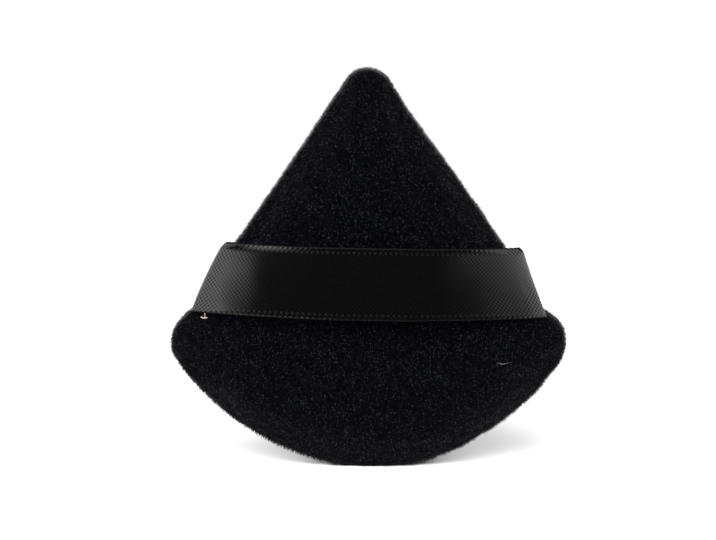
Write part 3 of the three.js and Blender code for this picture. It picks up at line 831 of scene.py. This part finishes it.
# A stitched line: along the edge at an inset, waving through the cloth so that it shows on alternate sides.
# The wave is a sine pressed towards a square one.
def stitchPath(inset, start, stop, pitch, reach):
    span = abs(stop - start) * edgeLength
    count = max(int(round(span / pitch)), 1)
    t = np.linspace(0, 1, count * sewing["stepsPerStitch"] + 1)
    line = rim(start + (stop - start) * t, np.full(len(t), inset))
    sharp = sewing["sharpness"]
    wave = np.tanh(sharp * np.sin(math.pi * (count * t + 0.5))) / math.tanh(sharp)
    return np.stack([line[:, 0], reach * wave, line[:, 1]], 1)


def threadMaterial():
    shader = Shader("sewingThread", {"Roughness": 0.6})
    fibre = shader.noise(0.25, 2.0)
    return shader.finished({"Base Color": shader.mix(fibre, grey(0.004), grey(0.014))})


# The edge seam runs all round but for the turning gap, which lies on the left above the ribbon and is closed
# by hand. A tack crosses each of the ribbon's tails.
def sewAll():
    s = sewing
    material = threadMaterial()
    ribbonFoot = ribbon["height"] - ribbon["width"] / 2
    ribbonTop = ribbonFoot + ribbon["width"]
    gapTo = shareAtHeight(ribbonTop, -1) - s["gapStart"] / edgeLength
    gapFrom = gapTo - s["turningGap"] / edgeLength
    away = s["seamEndGap"] / edgeLength
    seam = stitchPath(s["seamInset"], gapTo + away, 1 + gapFrom - away, s["seamPitch"], s["overCloth"])
    closing = stitchPath(s["closingInset"], gapFrom, gapTo, s["closingPitch"], s["closingReach"])
    runs = [("perimeterSeam", seam, "perimeter_seam_thread"), ("closingSeam", closing, "closing_seam_thread")]
    for name, side in (("left", -1), ("right", 1)):
        heights = (ribbonFoot + s["tackMargin"], ribbonTop - s["tackMargin"])
        start, stop = sorted(shareAtHeight(height, side) for height in heights)
        tack = stitchPath(s["tackInset"], start, stop, s["tackPitch"], s["overCloth"])
        runs.append((name + "Tack", tack, name + "_ribbon_tack"))
    for name, path, node in runs:
        settle(threadTube(name, path, s["radius"]), "thread", material, node)


sewAll()


# Stray bits

# A cream thread end at the ribbon's lower left end, and lint hairs on the front cover.
bits = [
    {"name": "threadEndStem", "slot": "thread", "radius": 0.12,
     "path": [(-34.7, -3.2, 34.6), (-34.6, -3.9, 33.7), (-34.5, -4.4, 32.9), (-34.5, -4.7, 32.4)]},
    {"name": "threadEndFoot", "slot": "thread", "radius": 0.12,
     "path": [(-35.3, -4.5, 32.5), (-34.9, -4.75, 32.3), (-34.4, -4.8, 32.3), (-33.9, -4.8, 32.4)]},
    {"name": "lint1", "slot": "velour", "radius": 0.045,
     "path": [(26.9, -6.5, 23.2), (28.1, -6.7, 22.8), (29.6, -6.4, 23.0), (31.2, -6.1, 23.6)]},
    {"name": "lint2", "slot": "velour", "radius": 0.055,
     "path": [(35.6, -5.3, 32.9), (36.0, -5.4, 32.6), (36.3, -5.2, 32.7), (36.5, -5.1, 32.4)]},
]
bitSteps = 8  # points between two corners of a bit's path


def strayBits():
    shaders = {
        "thread": Shader("creamThread", {"Roughness": 0.7, "Base Color": (0.55, 0.48, 0.36, 1)}),
        "velour": Shader("lint", {"Roughness": 0.8, "Base Color": grey(0.16)}),
    }
    for bit in bits:
        corners = np.array(bit["path"], float)
        path = finerWeights(len(corners), bitSteps * (len(corners) - 1) + 1) @ corners
        settle(threadTube(bit["name"], path, bit["radius"]), bit["slot"], shaders[bit["slot"]].material)


strayBits()
print("threads ready")


# Camera and light

camera = {"lens": 90.0, "distance": 380.9, "elevation": 7.0, "aim": (-2.2, 2.98, 41.9)}


def addCamera():
    data = bpy.data.cameras.new("camera")
    data.lens = camera["lens"]
    data.clip_start = 0.01
    lens = bpy.data.objects.new("camera", data)
    bpy.context.scene.collection.objects.link(lens)
    tilt = math.radians(camera["elevation"])
    back = np.array([0, -math.cos(tilt), math.sin(tilt)])
    lens.location = (np.array(camera["aim"]) + camera["distance"] * back) * mm
    lens.rotation_euler = (math.pi / 2 - tilt, 0, 0)
    bpy.context.scene.camera = lens


# A screen glows round its axis: its light grows with the cosine of the angle to it, from start to full.
studio = {
    "floor": ((-450, -60), (450, 260)), "floorTone": 0.88, "backdrop": 1.05, "ambient": 0.015,
    "screens": {
        "left": {"axis": (-0.838, 0.0, -0.545), "start": 0.492, "full": 0.506, "strength": 1.4},
        "farLeft": {"axis": (-0.838, 0.0, -0.545), "start": 0.48, "full": 0.54, "strength": 3.2},
        "leftSide": {"axis": (-0.95, 0.25, 0.2), "start": 0.88, "full": 0.97, "strength": 2.5},
        "right": {"axis": (0.85, 0.0, -0.53), "start": 0.43, "full": 0.88, "strength": 4.6},
        "behind": {"axis": (0.0, 1.0, 0.0), "start": 0.1, "full": 0.7, "strength": 0.4},
        "upperLeft": {"axis": (-0.8, 0.1, 0.6), "start": 0.86, "full": 0.96, "strength": 2.4},
        "rightRim": {"axis": (0.84, -0.38, 0.39), "start": 0.87, "full": 0.95, "strength": 2.2},
        "front": {"axis": (-0.2, -0.8, 0.565), "start": 0.79, "full": 0.96, "strength": 9.5},
    },
    "topLamp": {"place": (-60, -40, 700), "aim": (0, 0, 40), "side": 500, "power": 0.35},
}


# The world is plain white to the camera. To everything else it is dark but for the screens, of which the
# strongest counts in each direction.
def addWorld():
    world = bpy.data.worlds.new("studio")
    bpy.context.scene.world = world
    world.use_nodes = True
    nodes = Nodes(world.node_tree)
    lit = world.node_tree.nodes["Background"]
    way = nodes.node("ShaderNodeTexCoord", out="Generated")
    glows = []
    for screen in studio["screens"].values():
        sockets = {0: way, 1: screen["axis"]}
        cosine = nodes.node("ShaderNodeVectorMath", {"operation": "DOT_PRODUCT"}, sockets, out="Value")
        glows.append(nodes.ramp(cosine, screen["start"], screen["full"], screen["strength"]))
    total = glows[0]
    for glow in glows[1:]:
        total = nodes.math("MAXIMUM", total, glow)
    nodes.fill(lit, {"Color": grey(1.0), "Strength": total + studio["ambient"]})
    seen = nodes.node("ShaderNodeBackground", None, {"Color": grey(1.0), "Strength": studio["backdrop"]})
    toCamera = nodes.node("ShaderNodeLightPath", out="Is Camera Ray")
    both = nodes.node("ShaderNodeMixShader", None, {0: toCamera, 1: Wire(nodes, lit.outputs[0]), 2: seen})
    nodes.fill(world.node_tree.nodes["World Output"], {"Surface": both})


def addTopLamp():
    lamp = studio["topLamp"]
    data = bpy.data.lights.new("topLamp", "AREA")
    data.size = lamp["side"] * mm
    data.energy = lamp["power"]
    made = bpy.data.objects.new("topLamp", data)
    bpy.context.scene.collection.objects.link(made)
    made.location = np.array(lamp["place"]) * mm
    way = Vector(np.subtract(lamp["aim"], lamp["place"]))
    made.rotation_euler = way.to_track_quat("-Z", "Y").to_euler()


def addFloor():
    (left, front), (right, back) = studio["floor"]
    corners = [(left, front, 0), (right, front, 0), (right, back, 0), (left, back, 0)]
    floor = makePiece("floor", corners, [(0, 1, 2, 3)], smooth=False)
    paper = Shader("paper", {"Roughness": 0.9, "Base Color": grey(studio["floorTone"])})
    floor.data.materials.append(paper.material)


addCamera()
addWorld()
addTopLamp()
addFloor()
bpy.context.scene.view_settings.view_transform = "Standard"
print("studio ready")
